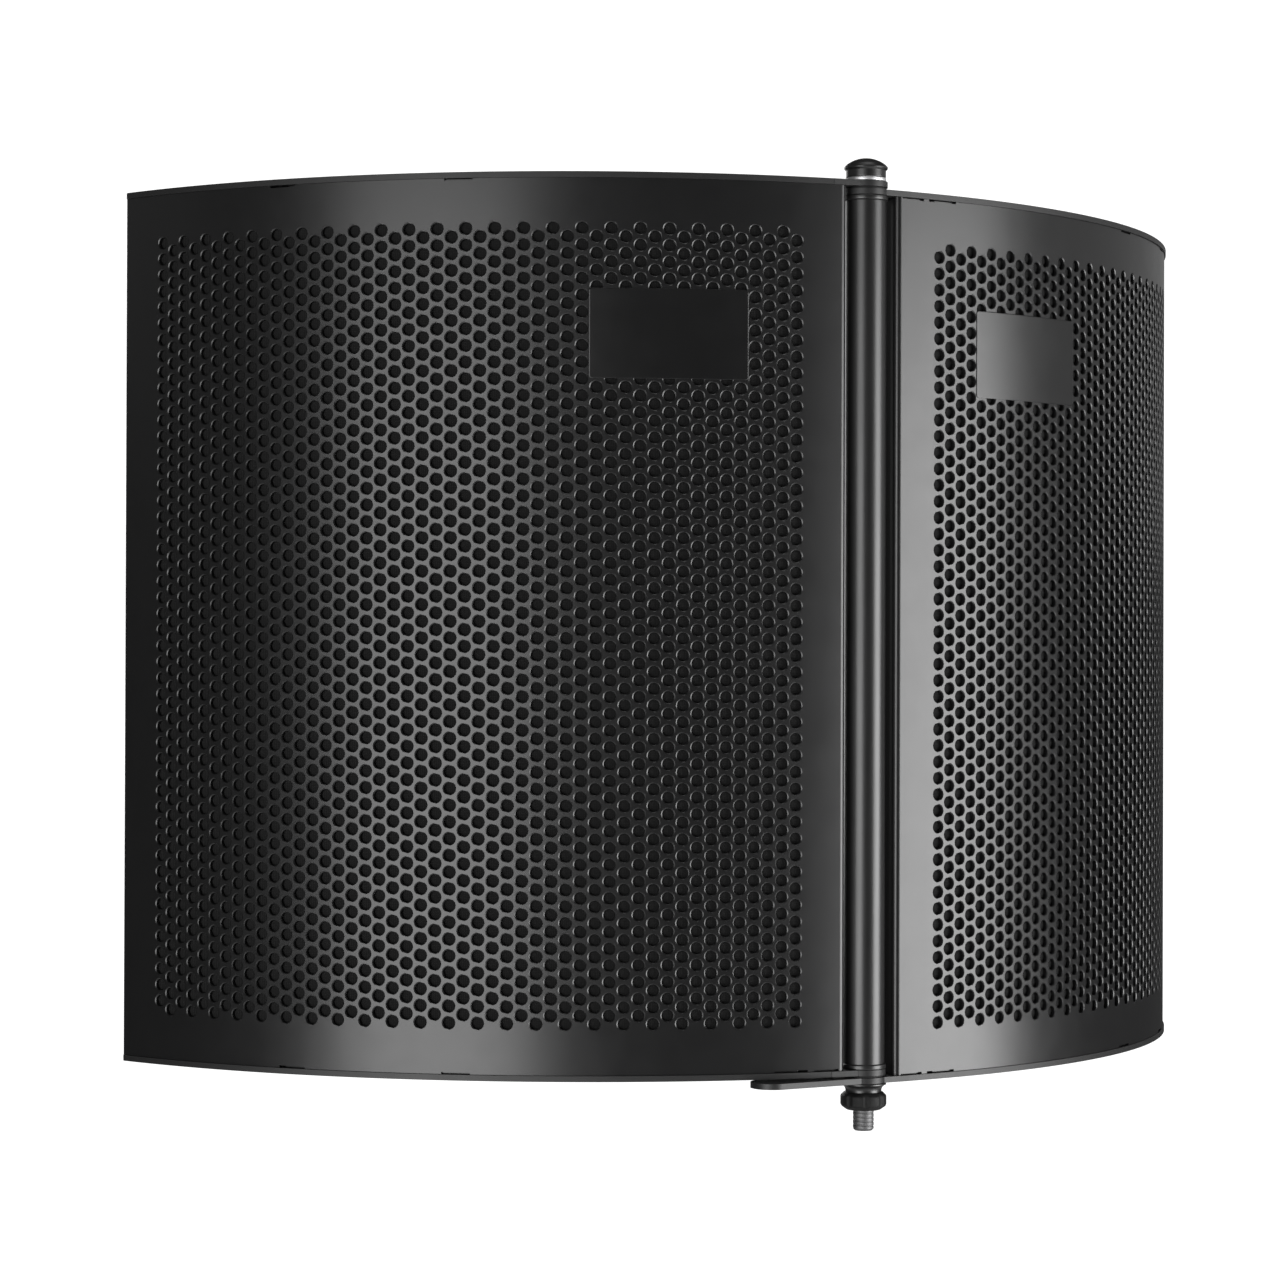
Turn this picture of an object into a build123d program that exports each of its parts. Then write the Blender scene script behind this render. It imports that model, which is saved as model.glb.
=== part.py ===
"""Folding two-panel microphone shield on a threaded centre post.

Frame, in millimetres: the origin is on the post's axis, where the bare stud comes out of the
thumb nut's lower face. +Z is up. The outer, convex side of the shield faces -Y, and the hollow
side, where a microphone stands, faces +Y. +X is to the right as seen from the outer side.
"""

import os
from math import cos, degrees, pi, radians, sin, sqrt

from build123d import *

# Centre post
ROD_R = 2.85  # plain shank; the threads are rolled up from it
STUD_R = 3.175  # 1/4 inch thread over its crests
STUD_LENGTH = 5.8
STUD_TIP = 0.55
ROD_TOP = 286.0
TUBE_R = 6.35  # half-inch tube
TUBE_WALL = 1.2
EAR_R = 6.7
BORE_R = 2.93  # plate ears turn on the rod with this bore
SLIP = 0.05  # gap between faces that turn on each other

# Stack of parts along the post
NUT_HEIGHT = 5.4
CONE_HEIGHT = 2.75
PLATE = 1.8
EAR_WASHER = 0.5
FLANGE = 1.5
FLANGE_R = 6.8
CAP_WASHER = 1.25
CAP_WASHER_R = 6.2
PANEL_HEIGHT = 271.55

# Perforation that sets the outer skin's size
COLUMNS = 48
COLUMN_PITCH = 4.38
HINGE_MARGIN = 16.4  # from the sheet's hinge end to the first column of holes
FREE_MARGIN = 17.4

# Panel section, for the right panel; the left one mirrors it
SKIN_R = 217.0
CENTRE = (-7.5, 212.4)
HINGE_HEADING = 4.27  # direction of the skin at its hinge edge, from +X towards +Y
SKIN = 1.0
FLANGE_DEPTH = 3.2
BEND_R = 1.8
LIP = 0.5  # the plates' edges stand proud of the skin by this
PLATE_WIDTH = 19.8
EDGE_GAP = 0.5  # shadow gap between the skin's edges and the plates
LAYER_GAP = 0.05
STILE = 1.2
STILE_LEG = 10.0
STILE_INSET = 1.5
HINGE_STILE_DEPTH = 11.0
FREE_STILE_DEPTH = 18.0
CLOTH = 0.8
FOAM_DEPTH = 35.0  # from the skin's outer face to the tips of the foam
FOAM_SETBACK = 3.2
TAB_WIDTH = 10.0
TAB_HEIGHT = 8.0
TABS = 5
MITRE = 43.0  # the hinge ends are cut back along this line so that the panels can close
MITRE_GAP = 1.5

# Blank badge plate
BADGE_COLUMNS = (4, 14)
BADGE_LOW = 209.8  # above the panel's underside
BADGE_HIGH = 236.8
BADGE = 0.3

# Tongue that the lower right plate carries past the post
TONGUE_REACH = 38.7
TONGUE_FRONT = 5.23
TONGUE_REAR = 7.44
NECK_REACH = 13.0

# Thumb nut
NUT_R = 7.0
NUT_BORE_R = 3.25
FLUTES = 8
FLUTE_R = 1.6
FLUTE_OFFSET = 8.2

ARC = (COLUMNS - 1) * COLUMN_PITCH + HINGE_MARGIN + FREE_MARGIN
CONE_Z = NUT_HEIGHT + SLIP
RIGHT_Z = CONE_Z + CONE_HEIGHT + 2 * SLIP
PANEL_STEP = PLATE + EAR_WASHER + 2 * SLIP
LEFT_Z = RIGHT_Z + PANEL_STEP
TUBE_Z = LEFT_Z + PLATE + SLIP
TUBE_TOP = RIGHT_Z + PANEL_HEIGHT - PLATE - SLIP
TOP_EAR = LEFT_Z + PANEL_HEIGHT


def heading(u):
    """Direction of the skin at arc length u from the hinge edge, in degrees."""
    return HINGE_HEADING + degrees(u / SKIN_R)


def at(u, r):
    """The point at arc length u and radius r about the panel's centre."""
    t = radians(heading(u))
    return (CENTRE[0] + r * sin(t), CENTRE[1] - r * cos(t))


def band(r_in, r_out, u0, u1):
    """A face between two radii and two arc lengths."""
    start, turn = heading(u0) - 90, heading(u1) - heading(u0)
    outer = CenterArc(CENTRE, r_out, start, turn)
    inner = CenterArc(CENTRE, r_in, start, turn)
    sides = [Line(outer @ 0, inner @ 0), Line(outer @ 1, inner @ 1)]
    return make_face([outer, inner, *sides])


def prism(face, z0, z1):
    return Pos(0, 0, z0) * extrude(face, amount=z1 - z0)


def ring(r_in, r_out, z0, z1):
    return prism(Circle(r_out) - Circle(r_in), z0, z1)


def turned(points):
    """A solid of revolution about Z from a closed outline of (r, z) points."""
    outline = Polyline(*[(r, 0, z) for r, z in points], close=True)
    return revolve(make_face(outline), Axis.Z, 360)


def mitre_cut():
    """The region beyond the line on which the two panels' hinge ends would meet."""
    size = 400
    return Rot(0, 0, MITRE) * Pos(0, size / 2 - MITRE_GAP) * Rectangle(size, size)


def round_corners(face, corners, radius):
    """Fillets the face's vertices that lie nearest the given points."""
    picked = [face.vertices().sort_by_distance(Vector(*c))[0] for c in corners]
    return fillet(picked, radius)


# ---- centre post ----


def tie_rod():
    tip = -STUD_LENGTH - STUD_TIP
    return turned(
        [
            (0, tip),
            (STUD_R - STUD_TIP, tip),
            (STUD_R, -STUD_LENGTH),
            (STUD_R, 0),
            (ROD_R, 0),
            (ROD_R, ROD_TOP),
            (0, ROD_TOP),
        ]
    )


def post_tube():
    return ring(TUBE_R - TUBE_WALL, TUBE_R, TUBE_Z + FLANGE, TUBE_TOP - FLANGE)


def tube_bushing(z_flange, direction):
    """A top-hat bushing: its plug centres the rod in the tube's end."""
    plug_r, plug_length = TUBE_R - TUBE_WALL - LAYER_GAP, 12.0
    inner = z_flange + direction * FLANGE
    flange = ring(ROD_R + LAYER_GAP, FLANGE_R, *sorted((z_flange, inner)))
    plug = ring(ROD_R + LAYER_GAP, plug_r, *sorted((inner, inner + direction * plug_length)))
    return flange + plug


def top_cap():
    """Domed cap nut on a short neck, with a blind bore for the rod."""
    neck_r, rim_r = 6.2, 6.7
    z0 = TOP_EAR + SLIP + CAP_WASHER
    neck_top, rim_low, rim_high, crown = z0 + 2.5, z0 + 2.9, z0 + 3.4, z0 + 6.05
    bore_r, bore_top = ROD_R + LAYER_GAP, ROD_TOP + 0.5
    side = Polyline(
        (0, 0, crown),
        (0, 0, bore_top),
        (bore_r, 0, bore_top),
        (bore_r, 0, z0),
        (neck_r, 0, z0),
        (neck_r, 0, neck_top),
        (rim_r, 0, rim_low),
        (rim_r, 0, rim_high),
    )
    rise = crown - rim_high
    sphere_r = (rim_r**2 + rise**2) / (2 * rise)
    shoulder = crown - sphere_r + sqrt(sphere_r**2 - (rim_r / 2) ** 2)
    dome = ThreePointArc((rim_r, 0, rim_high), (rim_r / 2, 0, shoulder), (0, 0, crown))
    return revolve(make_face([*side.edges(), dome]), Axis.Z, 360)


def clamp_cone():
    """Flared clamping washer between the nut and the lower ear."""
    low_r, high_r, rim = 5.5, 6.9, 0.5
    top = CONE_Z + CONE_HEIGHT
    side = Polyline(
        (high_r, 0, top - rim),
        (high_r, 0, top),
        (NUT_BORE_R, 0, top),
        (NUT_BORE_R, 0, CONE_Z),
        (low_r, 0, CONE_Z),
    )
    flare = ThreePointArc((low_r, 0, CONE_Z), (5.85, 0, CONE_Z + 1.5), (high_r, 0, top - rim))
    return revolve(make_face([*side.edges(), flare]), Axis.Z, 360)


def thumb_nut():
    """Fluted thumb nut with chamfered ends."""
    blank = turned(
        [
            (NUT_BORE_R, 0),
            (NUT_R - 1.9, 0),
            (NUT_R, 1.3),
            (NUT_R, NUT_HEIGHT - 1.0),
            (NUT_R - 1.1, NUT_HEIGHT),
            (NUT_BORE_R, NUT_HEIGHT),
        ]
    )
    for i in range(FLUTES):
        a = 2 * pi * (i + 0.5) / FLUTES
        flute = Pos(FLUTE_OFFSET * cos(a), FLUTE_OFFSET * sin(a)) * Circle(FLUTE_R)
        blank -= prism(flute, -1, NUT_HEIGHT + 1)
    return blank


# ---- one panel, standing on z = 0 with its height PANEL_HEIGHT ----


def outer_skin():
    """Perforated sheet, here unperforated, with its two ends bent inwards."""
    face = band(SKIN_R - SKIN, SKIN_R, 0, ARC)
    face += band(SKIN_R - FLANGE_DEPTH, SKIN_R, 0, SKIN)
    face += band(SKIN_R - FLANGE_DEPTH, SKIN_R, ARC - SKIN, ARC)
    face = round_corners(face, [at(0, SKIN_R), at(ARC, SKIN_R)], BEND_R)
    return prism(face, PLATE + EDGE_GAP, PANEL_HEIGHT - PLATE - EDGE_GAP)


def neck(reach, width_front, width_rear):
    """Strip along the hinge heading, from the post's axis out to the given reach."""
    centre = (reach / 2, (width_rear - width_front) / 2)
    strip = Pos(*centre) * Rectangle(abs(reach), width_front + width_rear)
    return Rot(0, 0, HINGE_HEADING) * strip


def plate_face():
    """Outline of a top or bottom plate with its ear and bore."""
    outer = SKIN_R + LIP
    body = band(outer - PLATE_WIDTH, outer, 0, ARC)
    free_corners = [at(ARC, outer), at(ARC, outer - PLATE_WIDTH)]
    body = round_corners(body, free_corners, 2.4)
    body += neck(NECK_REACH, TONGUE_FRONT, TONGUE_REAR)
    body -= mitre_cut()
    return body + Circle(EAR_R)


def plate(z0, tongue=False):
    face = plate_face()
    if tongue:
        strip = neck(-TONGUE_REACH, TONGUE_FRONT, TONGUE_REAR)
        tip = (-TONGUE_REACH, -TONGUE_FRONT), (-TONGUE_REACH, TONGUE_REAR)
        turn = radians(HINGE_HEADING)
        corners = [(x * cos(turn) - y * sin(turn), x * sin(turn) + y * cos(turn)) for x, y in tip]
        face += round_corners(strip, corners, 6.0)
    return prism(face - Circle(BORE_R), z0, z0 + PLATE)


def stile(depth, flip):
    """Angle strip that closes an end between the plates."""

    def piece(r_in, r_out, u0, u1):
        return band(r_in, r_out, ARC - u1, ARC - u0) if flip else band(r_in, r_out, u0, u1)

    outer = SKIN_R - SKIN - LAYER_GAP
    web = piece(SKIN_R - depth, outer, STILE_INSET, STILE_INSET + STILE)
    leg = piece(outer - STILE, outer, STILE_INSET, STILE_LEG)
    return prism(web + leg, PLATE, PANEL_HEIGHT - PLATE)


def skin_tabs():
    """Tabs along both plates, against the skin's inner face, that hold the skin."""
    outer = SKIN_R - SKIN - LAYER_GAP
    span = ARC - 2 * (STILE_LEG + TAB_WIDTH)
    tabs = []
    for i in range(TABS):
        u = STILE_LEG + TAB_WIDTH + span * i / (TABS - 1) - TAB_WIDTH / 2
        face = band(outer - STILE, outer, u, u + TAB_WIDTH)
        tabs.append(prism(face, PLATE, PLATE + TAB_HEIGHT))
        tabs.append(prism(face, PANEL_HEIGHT - PLATE - TAB_HEIGHT, PANEL_HEIGHT - PLATE))
    return Compound(tabs)


def cloth():
    outer = SKIN_R - SKIN - 0.25
    inset = PLATE + TAB_HEIGHT + 0.5
    face = band(outer - CLOTH, outer, STILE_LEG + 0.5, ARC - STILE_LEG - 0.5)
    return prism(face, inset, PANEL_HEIGHT - inset)


def foam():
    """Acoustic foam block; its hinge end is mitred."""
    outer = SKIN_R - SKIN - LAYER_GAP - STILE - 0.25
    face = band(SKIN_R - FOAM_DEPTH, outer, FOAM_SETBACK, ARC - FOAM_SETBACK)
    return prism(face - mitre_cut(), PLATE + 0.3, PANEL_HEIGHT - PLATE - 0.3)


def badge_plate():
    first, last = (HINGE_MARGIN + COLUMN_PITCH * c for c in BADGE_COLUMNS)
    half = COLUMN_PITCH / 2
    face = band(SKIN_R, SKIN_R + BADGE, first - half, last + half)
    return prism(face, BADGE_LOW, BADGE_HIGH)


def panel(side):
    """All the pieces of one panel, by node name."""
    right = side == "right"
    shapes = {
        "outer_skin": outer_skin(),
        "top_plate": plate(PANEL_HEIGHT - PLATE),
        "bottom_plate": plate(0, tongue=right),
        "hinge_stile": stile(HINGE_STILE_DEPTH, flip=False),
        "free_stile": stile(FREE_STILE_DEPTH, flip=True),
        "skin_tabs": skin_tabs(),
        "cloth": cloth(),
        "foam": foam(),
        "badge_plate": badge_plate(),
    }
    lift = Pos(0, 0, RIGHT_Z if right else LEFT_Z)
    placed = {}
    for name, shape in shapes.items():
        standing = shape if right else mirror(shape, about=Plane.YZ)
        placed[f"{side}_{name}"] = lift * standing
    return placed


def post():
    washer_low = RIGHT_Z + PLATE + SLIP
    washer_high = TUBE_TOP + SLIP + PLATE + SLIP
    washer_r = 6.2
    hole = ROD_R + LAYER_GAP
    cap_z = TOP_EAR + SLIP
    return {
        "tie_rod": tie_rod(),
        "post_tube": post_tube(),
        "lower_tube_bushing": tube_bushing(TUBE_Z, 1),
        "upper_tube_bushing": tube_bushing(TUBE_TOP, -1),
        "lower_ear_washer": ring(hole, washer_r, washer_low, washer_low + EAR_WASHER),
        "upper_ear_washer": ring(hole, washer_r, washer_high, washer_high + EAR_WASHER),
        "cap_washer": ring(hole, CAP_WASHER_R, cap_z, cap_z + CAP_WASHER),
        "top_cap": top_cap(),
        "clamp_cone": clamp_cone(),
        "thumb_nut": thumb_nut(),
    }


os.makedirs("parts", exist_ok=True)
for node, solid in {**post(), **panel("left"), **panel("right")}.items():
    export_step(solid, f"parts/{node}.step")
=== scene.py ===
from math import asin, atan2, cos, pi, radians, sin, sqrt

import bmesh
import bpy
import numpy as np
from mathutils import Matrix, Vector

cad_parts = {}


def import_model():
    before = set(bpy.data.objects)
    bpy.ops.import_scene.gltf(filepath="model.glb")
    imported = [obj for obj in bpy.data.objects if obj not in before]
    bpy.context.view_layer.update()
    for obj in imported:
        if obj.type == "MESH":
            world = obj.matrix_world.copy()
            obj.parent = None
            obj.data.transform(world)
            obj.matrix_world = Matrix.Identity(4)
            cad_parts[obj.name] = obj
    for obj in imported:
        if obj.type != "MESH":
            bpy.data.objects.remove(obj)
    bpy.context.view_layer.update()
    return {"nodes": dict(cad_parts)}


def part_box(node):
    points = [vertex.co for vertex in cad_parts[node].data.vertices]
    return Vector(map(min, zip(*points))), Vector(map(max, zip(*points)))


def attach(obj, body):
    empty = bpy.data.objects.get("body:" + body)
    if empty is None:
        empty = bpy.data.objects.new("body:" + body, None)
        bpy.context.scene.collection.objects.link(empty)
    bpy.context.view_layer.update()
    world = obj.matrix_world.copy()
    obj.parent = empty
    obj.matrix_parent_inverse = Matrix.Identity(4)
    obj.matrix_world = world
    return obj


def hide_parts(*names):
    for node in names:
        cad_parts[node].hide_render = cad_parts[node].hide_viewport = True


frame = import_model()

MM = 0.001

# Dimensions of a panel, in millimetres; most repeat the CAD's
SKIN_R = 217.0
CENTRE = np.array((-7.5, 212.4))
HINGE_HEADING = radians(4.27)
COLUMNS = ROWS = 48
COLUMN_PITCH = 4.38
ROW_PITCH = 5.0
FIRST_HOLE = 16.85  # from the top plate's upper face down to the highest holes
HOLE_R = 1.84
HOLE_SIDES = 14
ROLL_WIDTH = 0.3  # the punched holes' rims are rolled over by this
ROLL_DEPTH = 0.2
HINGE_MARGIN = 16.4
FREE_MARGIN = 17.4
ARC = (COLUMNS - 1) * COLUMN_PITCH + HINGE_MARGIN + FREE_MARGIN
SKIN = 1.0
BEND_R = 1.8
FLANGE_DEPTH = 3.2
EDGE_RISE = 0.45  # the skin's edges come this much nearer to the plates than in the CAD
NOTCH = 0.65  # and are set back by this over the stretches below
MANY_NOTCHES = ((2.2, 10.2), (12.2, 21.0), (113.4, 123.4), (168.0, 178.4))
FEW_NOTCHES = ((113.4, 123.4), (171.5, 178.5))
HINGE_STATIONS = (2.2, 4.5, 7.5, 10.2, 12.2)  # where the side margins are divided
FREE_STATIONS = (4.5, 8.0, 11.5)
MITRE = radians(43.0)
MITRE_GAP = 1.5
SIDES = {"right": 1, "left": -1}

# Thread of the post's stud
THREAD_R = 3.175
THREAD_ROOT = 3.03
THREAD_PITCH = 1.27


def corners(node):
    """A node's lowest and highest corners, in millimetres."""
    low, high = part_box(node)
    return np.array(low) / MM, np.array(high) / MM


# ---- mesh helpers ----


def add_mesh(name, points, faces, sharp=35.0):
    """A smooth-shaded mesh object from points in millimetres."""
    mesh = bpy.data.meshes.new(name)
    mesh.from_pydata((np.asarray(points, float) * MM).tolist(), [], faces)
    mesh.validate()
    return add_object(name, mesh, sharp)


def add_object(name, mesh, sharp):
    """Links a new object; edges over the sharp angle, in degrees, stay sharp unless it is None."""
    if sharp is not None:
        mesh.polygons.foreach_set("use_smooth", [True] * len(mesh.polygons))
        mesh.set_sharp_from_angle(angle=radians(sharp))
    obj = bpy.data.objects.new(name, mesh)
    bpy.context.scene.collection.objects.link(obj)
    return obj


def finish_piece(obj, body, slot, material, *nodes):
    """Gives a piece its material, lets it ride on a body and hides the CAD nodes it stands for."""
    obj.data.materials.clear()
    obj.data.materials.append(MATERIALS[material])
    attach(obj, body)
    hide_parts(*nodes)


def rounded(outline, radii, steps=4):
    """The closed outline with its corners rounded, each by its own radius."""
    pts = [np.array(p, float) for p in outline]
    out = []
    for i, (p, r) in enumerate(zip(pts, radii)):
        a, b = pts[i - 1] - p, pts[(i + 1) % len(pts)] - p
        la, lb = np.linalg.norm(a), np.linalg.norm(b)
        turn = pi - np.arccos(np.clip(a @ b / (la * lb), -1, 1))
        reach = min(r * np.tan(turn / 2), 0.45 * la, 0.45 * lb)
        if reach < 0.01:
            out.append(p)
            continue
        start, end = p + a / la * reach, p + b / lb * reach
        for t in np.linspace(0, 1, steps + 1):
            out.append((1 - t) ** 2 * start + 2 * t * (1 - t) * p + t**2 * end)
    return out


def arc_points(start, middle, end, steps):
    """Points on the circle through three (r, z) points, from start to end."""
    (x1, y1), (x2, y2), (x3, y3) = start, middle, end
    d = 2 * (x1 * (y2 - y3) + x2 * (y3 - y1) + x3 * (y1 - y2))
    s1, s2, s3 = x1**2 + y1**2, x2**2 + y2**2, x3**2 + y3**2
    cx = (s1 * (y2 - y3) + s2 * (y3 - y1) + s3 * (y1 - y2)) / d
    cy = (s1 * (x3 - x2) + s2 * (x1 - x3) + s3 * (x2 - x1)) / d
    r = sqrt((x1 - cx) ** 2 + (y1 - cy) ** 2)
    a0, a1 = atan2(y1 - cy, x1 - cx), atan2(y3 - cy, x3 - cx)
    turn = (a1 - a0 + pi) % (2 * pi) - pi
    angles = [a0 + turn * k / steps for k in range(steps + 1)]
    return [(cx + r * cos(a), cy + r * sin(a)) for a in angles]


def supported(outline):
    """The closed outline with points near the ends of its long stretches, to keep them flat."""
    near, long = 0.12, 0.9
    out = []
    for a, b in zip(outline, [*outline[1:], outline[0]]):
        a, b = np.array(a, float), np.array(b, float)
        length = np.linalg.norm(b - a)
        out.append(a)
        if length > long:
            out += [a + (b - a) * near / length, b - (b - a) * near / length]
    return out


def lathe(name, outline, segments=96, shape=None):
    """An anticlockwise closed (r, z) outline turned about Z; shape(angle, r) may pull points in."""
    shape = shape or (lambda angle, r: r)
    outline = supported(outline)
    rings, points = [], []
    for r, z in outline:
        if r < 1e-6:
            rings.append([len(points)] * segments)
            points.append((0, 0, z))
            continue
        rings.append(list(range(len(points), len(points) + segments)))
        for k in range(segments):
            a = 2 * pi * k / segments
            points.append((shape(a, r) * cos(a), shape(a, r) * sin(a), z))
    faces = []
    for low, high in zip(rings, rings[1:] + rings[:1]):
        for k in range(segments):
            n = (k + 1) % segments
            face = list(dict.fromkeys((low[k], low[n], high[n], high[k])))
            if len(face) > 2:
                faces.append(face)
    return add_mesh(name, points, faces)


def softened(node, name, body, slot, material):
    """The CAD node's own shape with its sharp edges rounded over."""
    edge = 0.25
    work = bmesh.new()
    work.from_mesh(frame["nodes"][node].data)
    bmesh.ops.remove_doubles(work, verts=work.verts, dist=1e-6)
    bmesh.ops.dissolve_limit(work, angle_limit=radians(0.3), verts=work.verts, edges=work.edges)
    mesh = bpy.data.meshes.new(name)
    work.to_mesh(mesh)
    work.free()
    mesh.polygons.foreach_set("use_smooth", [True] * len(mesh.polygons))
    source = bpy.data.objects.new(name, mesh)
    bpy.context.scene.collection.objects.link(source)
    bevel = source.modifiers.new("edges", "BEVEL")
    bevel.width, bevel.segments = edge * MM, 3
    bevel.limit_method, bevel.angle_limit = "ANGLE", radians(30)
    weighted = source.modifiers.new("flat_faces", "WEIGHTED_NORMAL")
    weighted.keep_sharp = True
    graph = bpy.context.evaluated_depsgraph_get()
    baked = bpy.data.meshes.new_from_object(source.evaluated_get(graph))
    bpy.data.objects.remove(source)
    finish_piece(add_object(name, baked, None), body, slot, material, node)


# ---- materials ----


class Recipe:
    """A node material with short forms for its usual parts."""

    def __init__(self, name):
        self.material = bpy.data.materials.new(name)
        self.material.use_nodes = True
        self.tree = self.material.node_tree
        self.shader = self.tree.nodes["Principled BSDF"]
        self.place = self.add("ShaderNodeTexCoord").outputs["Object"]

    def add(self, kind, attributes=(), **inputs):
        node = self.tree.nodes.new(kind)
        for key, value in dict(attributes).items():
            setattr(node, key, value)
        for key, value in inputs.items():
            node.inputs[key.replace("_", " ")].default_value = value
        return node

    def link(self, output, socket):
        self.tree.links.new(output, socket)

    def noise(self, scale, detail=2.0, stretch=(1, 1, 1)):
        node = self.add("ShaderNodeTexNoise", Scale=scale, Detail=detail)
        mapping = self.add("ShaderNodeMapping", Scale=stretch)
        self.link(self.place, mapping.inputs["Vector"])
        self.link(mapping.outputs["Vector"], node.inputs["Vector"])
        return node.outputs["Fac"]

    def spread(self, source, low, high, from_low=0.3, from_high=0.7):
        node = self.add("ShaderNodeMapRange", From_Min=from_low, From_Max=from_high,
                        To_Min=low, To_Max=high)
        self.link(source, node.inputs["Value"])
        return node.outputs["Result"]

    def colour(self, source, low, high):
        node = self.add("ShaderNodeMix", {"data_type": "RGBA"})
        self.link(source, node.inputs["Factor"])
        node.inputs["A"].default_value = (*low, 1)
        node.inputs["B"].default_value = (*high, 1)
        self.link(node.outputs["Result"], self.shader.inputs["Base Color"])

    def rough(self, source, low, high):
        self.link(self.spread(source, low, high), self.shader.inputs["Roughness"])

    def bump(self, *layers):
        """Stacks (height, strength, distance in metres) layers into the normal."""
        below = None
        for height, strength, distance in layers:
            node = self.add("ShaderNodeBump", Strength=strength, Distance=distance)
            self.link(height, node.inputs["Height"])
            if below is not None:
                self.link(below, node.inputs["Normal"])
            below = node.outputs["Normal"]
        self.link(below, self.shader.inputs["Normal"])

    def set(self, **values):
        for key, value in values.items():
            self.shader.inputs[key.replace("_", " ")].default_value = value


def grey(value, tint=0.0):
    return (value, value, value * (1 + tint))


def powder_coat(name, shade, rough):
    """Satin black powder coat: very fine orange peel and faint blotches in gloss and shade."""
    m = Recipe(name)
    m.colour(m.noise(25, 2), grey(shade * 0.9), grey(shade * 1.12, 0.04))
    m.rough(m.noise(140, 3), rough - 0.012, rough + 0.016)
    m.bump((m.noise(3600, 2), 0.15, 0.00001), (m.noise(900, 2), 0.05, 0.00001))
    return m.material


def gloss_coat(name, shade, rough):
    """Semi-gloss black coat with faint lines drawn along the post."""
    m = Recipe(name)
    m.colour(m.noise(80, 2), grey(shade * 0.8), grey(shade * 1.25))
    m.rough(m.noise(900, 3, (1, 1, 0.04)), rough - 0.02, rough + 0.03)
    m.bump((m.noise(1400, 2, (1, 1, 0.1)), 0.15, 0.00001))
    m.set(Specular_IOR_Level=0.6)
    return m.material


def metal(name, shade, rough):
    """Plated steel with fine turning marks."""
    m = Recipe(name)
    m.colour(m.noise(600, 3), grey(shade * 0.75), grey(shade, 0.02))
    m.rough(m.noise(1100, 3, (1, 1, 10)), rough - 0.06, rough + 0.1)
    m.bump((m.noise(1100, 2, (1, 1, 10)), 0.3, 0.00001))
    m.set(Metallic=1.0)
    return m.material


def moulded(name, shade, rough):
    """Moulded black plastic with a fine spark texture."""
    m = Recipe(name)
    m.colour(m.noise(300, 3), grey(shade * 0.8), grey(shade * 1.3))
    m.rough(m.noise(1800, 3), rough - 0.05, rough + 0.08)
    m.bump((m.noise(3200, 2), 0.4, 0.00003))
    m.set(Specular_IOR_Level=0.22)
    return m.material


def open_cell_foam():
    """Charcoal foam: pores with painted shade in their bottoms, soft unevenness and no gloss."""
    m = Recipe("open_cell_foam")
    pores = m.add("ShaderNodeTexVoronoi", Scale=850.0)
    m.link(m.place, pores.inputs["Vector"])
    # Painted shade: the colour follows the pore pattern, standing in for shade in the pores; the
    # noise multiplied in is the foam's own uneven tone.
    painted_pore_shade = m.spread(pores.outputs["Distance"], 1.0, 0.0, 0.0, 0.6)
    shade = m.add("ShaderNodeMath", {"operation": "MULTIPLY"})
    m.link(painted_pore_shade, shade.inputs[0])
    m.link(m.spread(m.noise(40, 3), 0.6, 1.0), shade.inputs[1])
    m.colour(shade.outputs[0], grey(0.010), grey(0.042, 0.03))
    m.bump((m.noise(140, 3), 0.3, 0.0006), (pores.outputs["Distance"], 0.7, 0.0004))
    m.set(Roughness=0.95, Specular_IOR_Level=0.15, Sheen_Weight=0.2, Sheen_Roughness=0.6)
    return m.material


def woven_cloth():
    """Black acoustic cloth: crossed threads half a millimetre apart."""
    m = Recipe("woven_cloth")
    crossed = m.add("ShaderNodeMath", {"operation": "MULTIPLY"})
    for i, (direction, scale) in enumerate((("Z", 640.0), ("X", 640.0))):
        wave = m.add("ShaderNodeTexWave", {"bands_direction": direction},
                     Scale=scale, Distortion=0.8)
        m.link(m.place, wave.inputs["Vector"])
        m.link(wave.outputs["Fac"], crossed.inputs[i])
    m.colour(crossed.outputs[0], grey(0.005), grey(0.014))
    m.bump((crossed.outputs[0], 0.6, 0.0001))
    m.set(Roughness=0.9, Specular_IOR_Level=0.2, Sheen_Weight=0.05)
    return m.material


def pale_floor():
    """Plain pale floor with a barely visible mottle."""
    m = Recipe("pale_floor")
    m.colour(m.noise(3, 2), grey(0.80), grey(0.83))
    m.set(Roughness=0.9, Specular_IOR_Level=0.1)
    return m.material


MATERIALS = {
    "sheet": powder_coat("powder_coat_sheet", 0.0065, 0.29),
    "plate": powder_coat("powder_coat_plate", 0.0065, 0.48),
    "badge": powder_coat("powder_coat_badge", 0.0045, 0.29),
    "gloss": gloss_coat("black_coat_post", 0.007, 0.33),
    "cap": gloss_coat("black_coat_cap", 0.007, 0.33),
    "steel": metal("zinc_steel", 0.16, 0.55),
    "washer": metal("bright_zinc", 0.68, 0.45),
    "nylon": moulded("black_nylon", 0.012, 0.5),
    "knob": moulded("moulded_knob", 0.004, 0.6),
    "foam": open_cell_foam(),
    "cloth": woven_cloth(),
}


# ---- panels: worked out for the right one, mirrored for the left ----


def on_arc(u, depth):
    """The point at arc length u and depth under the skin's outer face."""
    t = HINGE_HEADING + u / SKIN_R
    return CENTRE + (SKIN_R - depth) * np.array((sin(t), -cos(t)))


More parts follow.
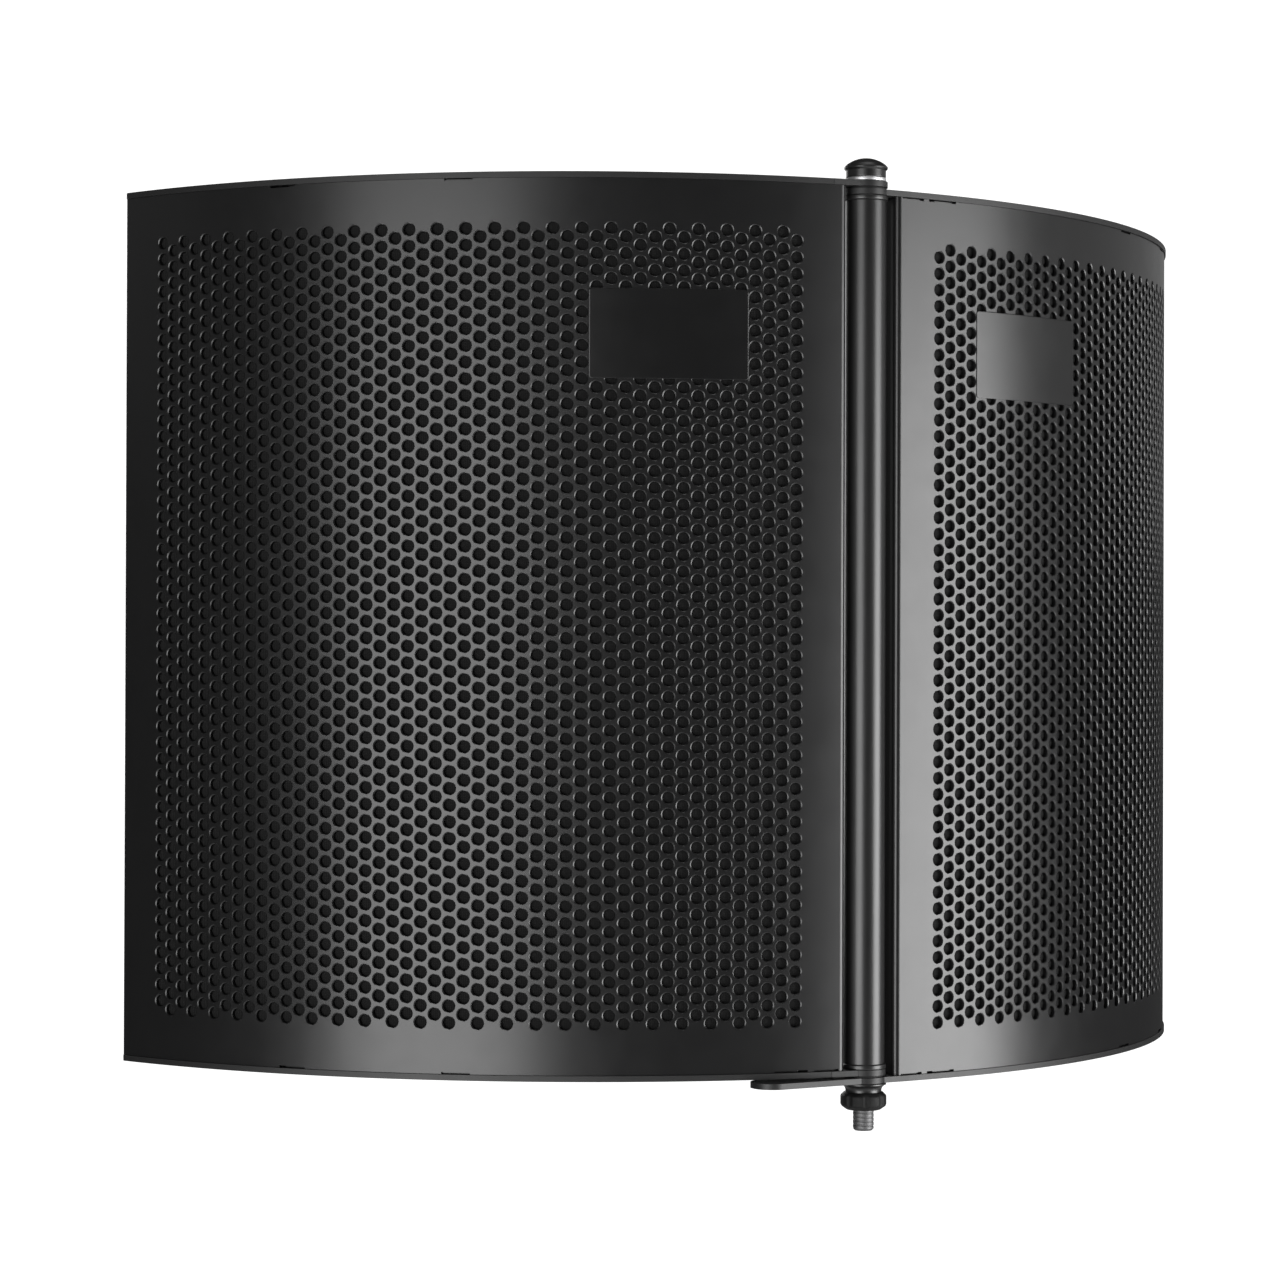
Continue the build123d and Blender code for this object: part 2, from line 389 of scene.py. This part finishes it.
def skin_section(s):
    """Outer face and inward normal of the skin at s along it, round the bends at its two ends."""
    end = min(s, ARC - s)
    far = s > ARC / 2
    u = max(end, BEND_R)
    t = HINGE_HEADING + (ARC - u if far else u) / SKIN_R
    along = np.array((cos(t), sin(t))) * (1 if far else -1)
    inward = np.array((-sin(t), cos(t)))
    point = CENTRE - SKIN_R * inward
    if end >= BEND_R:
        return point, inward
    turn = min((BEND_R - end) / BEND_R, pi / 2)
    out = along * sin(turn) - inward * cos(turn)
    straight = max(BEND_R - end - BEND_R * pi / 2, 0.0)
    return point + BEND_R * (inward + out) + inward * straight, -out


def cell_outline():
    c, p = COLUMN_PITCH / 2, ROW_PITCH / 2
    return [(c, 0), (c, p), (-c, p), (-c, 0), (-c, -p), (c, -p)]


def circle(r, sides):
    return [(r * cos(2 * pi * k / sides), r * sin(2 * pi * k / sides)) for k in range(sides)]


def zipped(outer, inner):
    """Triangles between a cell's outline and a ring inside it, anticlockwise."""
    angle = [atan2(z, u) % (2 * pi) for u, z in outer] + [2 * pi]
    n, m = len(outer), len(inner)
    i = j = 0
    triangles = []
    while i < n or j < m:
        if j < m and (i == n or 2 * pi * (j + 1) / m <= angle[i + 1] + 1e-9):
            triangles.append((outer[i % n], inner[(j + 1) % m], inner[j]))
            j += 1
        else:
            triangles.append((outer[i % n], outer[(i + 1) % n], inner[j % m]))
            i += 1
    return triangles


def cell_faces():
    """Faces of one perforated cell as (u, z, depth) points about the hole's centre."""
    rim = circle(HOLE_R + ROLL_WIDTH, HOLE_SIDES)
    mouth = circle(HOLE_R, HOLE_SIDES)
    exit_ring = circle(HOLE_R, HOLE_SIDES // 2)
    faces = [[(*p, 0.0) for p in f] for f in zipped(cell_outline(), rim)]
    faces += [[(*p, SKIN) for p in reversed(f)] for f in zipped(cell_outline(), exit_ring)]
    for k in range(HOLE_SIDES):
        n = (k + 1) % HOLE_SIDES
        faces.append([(*rim[k], 0.0), (*rim[n], 0.0),
                      (*mouth[n], ROLL_DEPTH), (*mouth[k], ROLL_DEPTH)])
    for k in range(0, HOLE_SIDES, 2):
        f0, f1, f2 = ((*mouth[(k + d) % HOLE_SIDES], ROLL_DEPTH) for d in range(3))
        b0, b1 = ((*exit_ring[(k // 2 + d) % (HOLE_SIDES // 2)], SKIN) for d in range(2))
        faces += [[f0, f1, b0], [f1, b1, b0], [f1, f2, b1]]
    return faces


def notched(u, places):
    """Whether the skin's edge is set back from its plate at u."""
    return any(start < u < end for start, end in places)


def between(levels, low, high):
    """The levels from low to high, with room for rounding."""
    return [v for v in levels if low - 1e-3 < v < high + 1e-3]


def margin_faces(stations, levels, z_low, z_high, low_notches, high_notches, far):
    """Quads of a plain side margin, less the places where its upper or lower edge is set back."""
    faces = []
    for a, b in zip(stations, stations[1:]):
        s0, s1 = (ARC - b, ARC - a) if far else (a, b)
        middle = (s0 + s1) / 2
        low = z_low + NOTCH * notched(middle, low_notches)
        high = z_high - NOTCH * notched(middle, high_notches)
        inside = between(levels, low, high)
        faces += [[(s0, v), (s1, v), (s1, w), (s0, w)] for v, w in zip(inside, inside[1:])]
    return faces


def skin_faces(z_low, z_high, first, low_notches, high_notches):
    """Faces of the perforated sheet as (s, z, depth) points, but for the walls round its edge."""
    half, step = COLUMN_PITCH / 2, ROW_PITCH / 2
    cell = cell_faces()
    faces = []
    ends = []  # a column's levels: the lower edge, the cells' two ends, the upper edge
    for k in range(COLUMNS):
        u = HINGE_MARGIN + k * COLUMN_PITCH
        top = first - (step if k % 2 == 0 else 0)
        for row in range(ROWS):
            z = top - row * ROW_PITCH
            faces += [[(u + a, z + b, d) for a, b, d in face] for face in cell]
        edge_low = z_low + NOTCH * notched(u, low_notches)
        edge_high = z_high - NOTCH * notched(u, high_notches)
        ends.append((edge_low, top - (ROWS - 0.5) * ROW_PITCH, top + step, edge_high))
    # The strips over and under the cells, and the side margins, share every vertex with their
    # neighbours, so each takes over the levels at which the next one ends.
    edges = {z_low, z_low + NOTCH, z_high - NOTCH, z_high}
    margins = []
    for here in (ends[0], ends[-1]):
        rows = {here[1] + i * step for i in range(2 * ROWS + 1)}
        margins.append(sorted({round(v, 4) for v in rows | edges}))
    fence = [margins[0], *ends, margins[1]]
    flat = []
    for k in range(COLUMNS):
        u0, u1 = (HINGE_MARGIN + (k + d) * COLUMN_PITCH for d in (-0.5, 0.5))
        before, here, after = fence[k : k + 3]
        for low, high in (here[:2], here[2:]):
            left = {round(v, 4) for v in between((*before, *here), low, high)}
            right = {round(v, 4) for v in between((*after, *here), low, high)}
            flat.append([(u1, v) for v in sorted(right)]
                        + [(u0, v) for v in sorted(left, reverse=True)])
    flange = BEND_R * (1 - pi / 2) - (FLANGE_DEPTH - BEND_R)
    bend = np.linspace(BEND_R * (1 - pi / 2), BEND_R, 9)
    turned = [flange, flange + 0.2, bend[0] - 0.15, *bend, BEND_R + 0.15]
    hinge = [*turned, *HINGE_STATIONS, HINGE_MARGIN - half]
    free = [*turned, *FREE_STATIONS, FREE_MARGIN - half]
    for stations, levels, far in ((hinge, margins[0], False), (free, margins[1], True)):
        flat += margin_faces(stations, levels, z_low, z_high, low_notches, high_notches, far)
    faces += [[(s, z, 0.0) for s, z in face] for face in flat]
    faces += [[(s, z, SKIN) for s, z in reversed(face)] for face in flat]
    return faces


def outer_skin(side, mirror):
    """Perforated sheet with rolled hole rims and its two ends bent inwards."""
    node = f"{side}_outer_skin"
    low, high = corners(node)
    top_notches = MANY_NOTCHES if side == "right" else FEW_NOTCHES
    first = corners(f"{side}_top_plate")[1][2] - FIRST_HOLE
    polygons = skin_faces(low[2] - EDGE_RISE, high[2] + EDGE_RISE, first, MANY_NOTCHES, top_notches)
    index, keys, faces = {}, [], []
    for polygon in polygons:
        face = []
        for s, z, depth in polygon:
            key = (round(s, 3), round(z, 3), round(depth, 3))
            if key not in index:
                index[key] = len(keys)
                keys.append(key)
            face.append(index[key])
        faces.append(face)
    open_edges = {}  # those with a face on one side only, which run round the sheet's outer edge
    for face in faces:
        for a, b in zip(face, face[1:] + face[:1]):
            if open_edges.pop((b, a), None) is None:
                open_edges[(a, b)] = True
    for a, b in open_edges:
        if keys[a][2] == 0:
            under = [index[(*keys[v][:2], SKIN)] for v in (a, b)]
            faces.append([b, a, *under])
    sections = {s: skin_section(s) for s in {key[0] for key in keys}}
    points = []
    for s, z, depth in keys:
        point, inward = sections[s]
        x, y = point + depth * inward
        points.append((mirror * x, y, z))
    if mirror < 0:
        faces = [face[::-1] for face in faces]
    skin = add_mesh(f"{side}_perforated_skin", points, faces, 30)
    finish_piece(skin, f"{side}_panel", "black_sheet", "sheet", node)


def badge(side, mirror):
    """Blank thin badge, bent to the skin, with rounded corners and softened edges."""
    node = f"{side}_badge_plate"
    low, high = corners(node)
    thick, edge, corner = 0.2, 0.06, 0.9
    first_column, last_column = 4, 14
    u0 = HINGE_MARGIN + COLUMN_PITCH * (first_column - 0.5)
    u1 = HINGE_MARGIN + COLUMN_PITCH * (last_column + 0.5)
    z0, z1 = low[2], high[2]
    curve = np.array([0.0, 0.12, 0.3, 0.6, 0.9])
    along = [*(u0 + curve), *np.linspace(u0 + 1.2, u1 - 1.2, 24), *(u1 - curve[::-1])]
    sections = []
    for u in along:
        inset = min(u - u0, u1 - u)
        drop = corner - sqrt(max(corner**2 - (corner - min(inset, corner)) ** 2, 0.0))
        lift = edge * min(inset / edge, 1.0)
        face = thick - edge + lift
        a, b, flat = z0 + drop, z1 - drop, lift + 0.2
        shape = [(a, 0.0), (a, thick - edge), (a + lift, face), (a + flat, face),
                 (b - flat, face), (b - lift, face), (b, thick - edge), (b, 0.0)]
        sections.append([(*on_arc(u, -d), z) for z, d in shape])
    n = len(sections[0])
    points = [(mirror * x, y, z) for section in sections for x, y, z in section]
    faces = [list(range(n))[::-1], list(range(len(points) - n, len(points)))]
    for i in range(len(sections) - 1):
        for k in range(n):
            m = (k + 1) % n
            faces.append([i * n + k, i * n + m, (i + 1) * n + m, (i + 1) * n + k])
    if mirror < 0:
        faces = [face[::-1] for face in faces]
    tile = add_mesh(f"{side}_badge", points, faces, 50)
    finish_piece(tile, f"{side}_panel", "black_badge", "badge", node)


def mitre_depth(u):
    """Depth under the skin's outer face at which the mitre line crosses the radius at u."""
    t = HINGE_HEADING + u / SKIN_R
    reach = CENTRE[1] * cos(MITRE) - CENTRE[0] * sin(MITRE) + MITRE_GAP
    return SKIN_R - reach / cos(MITRE - t) if t < MITRE else np.inf


def grid_faces(nu, nv, start=0):
    """Quads of a grid whose points run along v first."""
    return [
        [start + i * (nv + 1) + j, start + (i + 1) * (nv + 1) + j,
         start + (i + 1) * (nv + 1) + j + 1, start + i * (nv + 1) + j + 1]
        for i in range(nu) for j in range(nv)
    ]


def rim_loop(nu, nv):
    """Indices round a grid's edge, anticlockwise in (u, v)."""
    low = [i * (nv + 1) for i in range(nu)]
    right = [nu * (nv + 1) + j for j in range(nv)]
    high = [i * (nv + 1) + nv for i in range(nu, 0, -1)]
    return low + right + high + list(range(nv, 0, -1))


def slab(name, front, back, nu, nv, mirror, sharp):
    """A closed body between two grids of points; front faces away from the panel's centre."""
    points = [(mirror * x, y, z) for x, y, z in front + back]
    n = len(front)
    faces = grid_faces(nu, nv) + [face[::-1] for face in grid_faces(nu, nv, n)]
    loop = rim_loop(nu, nv)
    faces += [[b, a, a + n, b + n] for a, b in zip(loop, loop[1:] + loop[:1])]
    if mirror < 0:
        faces = [face[::-1] for face in faces]
    return add_mesh(name, points, faces, sharp)


def foam_pad(side, mirror):
    """Foam pad with rows of blunt pyramids; its hinge end is cut along the mitre."""
    node = f"{side}_foam"
    low, high = corners(node)
    set_back, tips, valley, back, thinnest = 3.2, 34.4, 20.5, 2.6, 0.5
    across, up, fine = 9, 10, 14
    ridge_power, tip_blunting = 8, 0.014
    nu, nv = across * fine, up * fine
    uneven = np.random.default_rng(7 if mirror > 0 else 11).normal(0, 0.3, (across, up))
    u_of = np.linspace(set_back, ARC - set_back, nu + 1)
    z_of = np.linspace(low[2], high[2], nv + 1)

    def depth(i, j):
        a, b = min(i // fine, across - 1), min(j // fine, up - 1)
        x, y = abs(2 * (i / fine - a) - 1), abs(2 * (j / fine - b) - 1)
        rise = 1 - (x**ridge_power + y**ridge_power) ** (1 / ridge_power)
        blunt = 1.06 - sqrt((1 - rise) ** 2 + tip_blunting)
        wave = valley + (tips - valley) * min(max(blunt, 0.0), 1.0) + uneven[a, b] * rise
        return max(min(wave, mitre_depth(u_of[i])), back + thinnest)

    skin_face = [(*on_arc(u, back), z) for u in u_of for z in z_of]
    wedges = [(*on_arc(u, depth(i, j)), z) for i, u in enumerate(u_of) for j, z in enumerate(z_of)]
    pad = slab(f"{side}_foam_pad", skin_face, wedges, nu, nv, mirror, 60)
    finish_piece(pad, f"{side}_panel", "black_foam", "foam", node)


def cloth(side, mirror):
    """Cloth stretched between the skin and the foam."""
    node = f"{side}_cloth"
    low, high = corners(node)
    nu, nv, depth, thick, inset = 90, 60, 1.4, 0.5, 10.6
    u_of = np.linspace(inset, ARC - inset, nu + 1)
    z_of = np.linspace(low[2] + 0.2, high[2] - 0.2, nv + 1)
    front, back = [], []
    for i, u in enumerate(u_of):
        for j, z in enumerate(z_of):
            ripple = 0.05 * sin(i * 0.7) * sin(j * 0.5)
            front.append((*on_arc(u, depth + ripple), z))
            back.append((*on_arc(u, depth + ripple + thick), z))
    sheet = slab(f"{side}_acoustic_cloth", front, back, nu, nv, mirror, 40)
    finish_piece(sheet, f"{side}_panel", "black_cloth", "cloth", node)


# ---- centre post ----


def washer_outline(r_in, r_out, z0, z1, edge):
    return rounded([(r_in, z0), (r_out, z0), (r_out, z1), (r_in, z1)], [0, edge, edge, 0], 3)


def turned_piece(node, name, slot, material, outline, body="post", **shape):
    finish_piece(lathe(name, outline, **shape), body, slot, material, node)


def post_tube():
    low, high = corners("post_tube")
    outline = washer_outline(5.15, high[0], low[2], high[2], 0.15)
    turned_piece("post_tube", "post_sleeve", "black_gloss", "gloss", outline)


def tube_bushings():
    for node, up in (("lower_tube_bushing", True), ("upper_tube_bushing", False)):
        low, high = corners(node)
        plug, bore, rim, flange = 5.1, 2.9, high[0], 1.5
        z0, z1 = low[2], high[2]
        if up:
            outline = [(bore, z0), (rim, z0), (rim, z0 + flange),
                       (plug, z0 + flange), (plug, z1), (bore, z1)]
            radii = [0, 0.35, 0.35, 0, 0.2, 0]
        else:
            outline = [(bore, z0), (plug, z0), (plug, z1 - flange),
                       (rim, z1 - flange), (rim, z1), (bore, z1)]
            radii = [0, 0.2, 0, 0.35, 0.35, 0]
        turned_piece(node, f"{node}_ring", "black_gloss", "gloss", rounded(outline, radii))


def washers():
    for node, slot, material, edge in (
        ("lower_ear_washer", "black_nylon", "nylon", 0.12),
        ("upper_ear_washer", "black_nylon", "nylon", 0.12),
        ("cap_washer", "bright_washer", "washer", 0.3),
    ):
        low, high = corners(node)
        outline = washer_outline(2.9, high[0], low[2], high[2], edge)
        turned_piece(node, f"{node}_ring", slot, material, outline)


def top_cap():
    low, high = corners("top_cap")
    z0, crown, rim_r, neck_r = low[2], high[2], high[0], 6.15
    neck_top, rim_low, rim_high = z0 + 2.15, z0 + 2.75, z0 + 3.4
    bore_r, bore_top = 2.9, corners("tie_rod")[1][2] + 0.5
    rise = crown - rim_high
    sphere = (rim_r**2 + rise**2) / (2 * rise)
    angles = np.linspace(asin(rim_r / sphere), 0, 20)
    dome = [(sphere * sin(a), crown - sphere * (1 - cos(a))) for a in angles]
    dome[-1] = (0, crown)
    rim_edge = 0.5
    side = [(bore_r, z0), (neck_r, z0), (neck_r, neck_top), (rim_r, rim_low), dome[0], (0, crown)]
    side = rounded(side, [0, 0.2, 0, 0.12, rim_edge, 0])
    outline = side[:-1] + [p for p in dome if p[0] < rim_r - rim_edge]
    outline += [(0, bore_top), (bore_r, bore_top)]
    turned_piece("top_cap", "domed_cap", "black_gloss", "cap", outline)


def clamp_cone():
    low, high = corners("clamp_cone")
    z0, z1, r_low, r_high = low[2], high[2], 5.5, high[0]
    flare = arc_points((r_low, z0), (5.85, z0 + 1.5), (r_high, z1 - 0.5), 12)
    outline = [(3.25, z0), *flare, *rounded([flare[-1], (r_high, z1), (3.25, z1)], [0, 0.3, 0])[1:]]
    turned_piece("clamp_cone", "flared_clamp", "black_gloss", "gloss", outline, "clamp_cone")


def thumb_nut():
    """Moulded barrel with eight shallow flutes."""
    low, high = corners("thumb_nut")
    z0, z1 = low[2], high[2]
    bore, rim = 3.25, 7.0
    flutes, offset, flute_r, skirt = 8, 8.2, 1.6, 0.3

    def fluted(angle, r):
        """Squeezes what lies outside a flute's wall into a narrow skirt along it."""
        away = angle % (2 * pi / flutes) - pi / flutes
        reach = flute_r**2 - (offset * sin(away)) ** 2
        wall = offset * cos(away) - sqrt(reach) if reach > 0 else rim
        start = min(wall, rim) - skirt
        return r if r <= start else start + skirt * (r - start) / (rim - start)

    outline = [(bore, z0), (5.1, z0), (rim, z0 + 1.3), (rim, z1 - 1.0), (5.9, z1), (bore, z1)]
    outline = rounded(outline, [0, 0.8, 1.2, 0.9, 0.6, 0], 6)
    turned_piece("thumb_nut", "fluted_nut", "black_plastic", "knob", outline, "thumb_nut",
                 segments=160, shape=fluted)


def tie_rod():
    """Rod with a cut thread on the stud and as far up as the lower ear, and a plain shank above."""
    low, high = corners("tie_rod")
    shank, start, end, segments = 2.85, low[2], 8.1, 48
    step = THREAD_PITCH / 12
    chamfer, top_chamfer = 0.6, 0.3
    circle_of = [(cos(2 * pi * k / segments), sin(2 * pi * k / segments)) for k in range(segments)]

    def radius(a, z):
        phase = (z / THREAD_PITCH + a / (2 * pi)) % 1.0
        ridge = min((0.5 - abs(phase - 0.5)) * 4.0, 1.0)
        r = THREAD_ROOT + (THREAD_R - THREAD_ROOT) * ridge
        return min(r, THREAD_R - chamfer + (z - start))

    levels = [*np.arange(start, end, step), end]
    points, faces = [(0, 0, start)], []
    for z in levels:
        for k, (x, y) in enumerate(circle_of):
            r = shank if z == end else radius(2 * pi * k / segments, z)
            points.append((r * x, r * y, z))
    for r, z in ((shank, high[2] - top_chamfer), (shank - top_chamfer, high[2])):
        points += [(r * x, r * y, z) for x, y in circle_of]
    rings = len(levels) + 2
    for i in range(rings - 1):
        for k in range(segments):
            a, b = 1 + i * segments + k, 1 + i * segments + (k + 1) % segments
            faces.append([a, b, b + segments, a + segments])
    faces += [[0, 1 + (k + 1) % segments, 1 + k] for k in range(segments)]
    faces.append(list(range(1 + (rings - 1) * segments, 1 + rings * segments)))
    rod = add_mesh("threaded_rod", points, faces, 50)
    finish_piece(rod, "post", "bare_steel", "steel", "tie_rod")


# ---- stage, light and camera ----


def softbox(name, azimuth, distance, height, size, power, aim=(0, 0.04, 0.13)):
    """An area light round the post; azimuth 0 is on the -Y side and 90 on the +X side."""
    data = bpy.data.lights.new(name, "AREA")
    data.shape = "RECTANGLE"
    data.size, data.size_y = size
    data.energy = power
    lamp = bpy.data.objects.new(name, data)
    a = radians(azimuth)
    lamp.location = (distance * sin(a), -distance * cos(a), height)
    lamp.rotation_euler = (Vector(aim) - lamp.location).to_track_quat("-Z", "Y").to_euler()
    bpy.context.scene.collection.objects.link(lamp)


def floor():
    """Pale floor well under the shield, which hangs from a stand that isn't part of it."""
    half, level, n = 1.9, -0.75, 16
    side = np.linspace(-half, half, n + 1)
    points = [(x / MM, y / MM, level / MM) for x in side for y in side]
    obj = add_mesh("floor", points, grid_faces(n, n))
    obj.data.materials.append(pale_floor())


def world():
    """White surround for the camera, dim surround for light and reflections."""
    bpy.context.scene.world = bpy.data.worlds.new("studio")
    bpy.context.scene.world.use_nodes = True
    tree = bpy.context.scene.world.node_tree
    tree.nodes.clear()
    path = tree.nodes.new("ShaderNodeLightPath")
    mix = tree.nodes.new("ShaderNodeMixShader")
    out = tree.nodes.new("ShaderNodeOutputWorld")
    for socket, strength in ((1, 0.05), (2, 1.2)):
        light = tree.nodes.new("ShaderNodeBackground")
        light.inputs["Color"].default_value = (1, 1, 1, 1)
        light.inputs["Strength"].default_value = strength
        tree.links.new(light.outputs[0], mix.inputs[socket])
    tree.links.new(path.outputs["Is Camera Ray"], mix.inputs[0])
    tree.links.new(mix.outputs[0], out.inputs["Surface"])


def camera():
    """Long lens to the left of the shield, level with its middle."""
    place = Matrix.Translation((-0.5381, -0.9373, 0.1357))
    yaw, pitch, roll = radians(26.231), radians(0.365), radians(0.177)
    forward = Vector((sin(yaw) * cos(pitch), cos(yaw) * cos(pitch), sin(pitch)))
    right = Vector((cos(yaw), -sin(yaw), 0))
    up = right.cross(forward)
    x, y = right * cos(roll) + up * sin(roll), up * cos(roll) - right * sin(roll)
    data = bpy.data.cameras.new("camera")
    data.sensor_width, data.lens, data.clip_end = 36.0, 99.59, 50
    cam = bpy.data.objects.new("camera", data)
    cam.matrix_world = place @ Matrix((x, y, -forward)).transposed().to_4x4()
    bpy.context.scene.collection.objects.link(cam)
    bpy.context.scene.camera = cam


for side, mirror in SIDES.items():
    outer_skin(side, mirror)
    badge(side, mirror)
    foam_pad(side, mirror)
    cloth(side, mirror)
    body = f"{side}_panel"
    for part, slot, material in (
        ("top_plate", "black_plate", "plate"),
        ("bottom_plate", "black_plate", "plate"),
        ("hinge_stile", "black_sheet", "sheet"),
        ("free_stile", "black_sheet", "sheet"),
        ("skin_tabs", "black_sheet", "sheet"),
    ):
        softened(f"{side}_{part}", f"{side}_{part}_sheet", body, slot, material)

post_tube()
tube_bushings()
washers()
top_cap()
clamp_cone()
thumb_nut()
tie_rod()

floor()
world()
softbox("left_softbox", -56, 1.7, -0.2, (1.05, 1.4), 27)
softbox("right_softbox", 45.7, 1.7, -0.2, (1.15, 1.4), 48)
softbox("right_back_glow", 110, 1.7, 0.66, (2.4, 0.9), 2.0)
softbox("left_back_glow", -118, 1.7, 0.75, (1.2, 0.9), 0.55)
softbox("back_fill", 172, 1.8, 0.45, (1.4, 1.0), 12, (0, 0.1, 0.1))
softbox("top_softbox", 0, 0.25, 1.9, (1.2, 1.2), 8)
camera()
bpy.context.scene.view_settings.view_transform = "Standard"
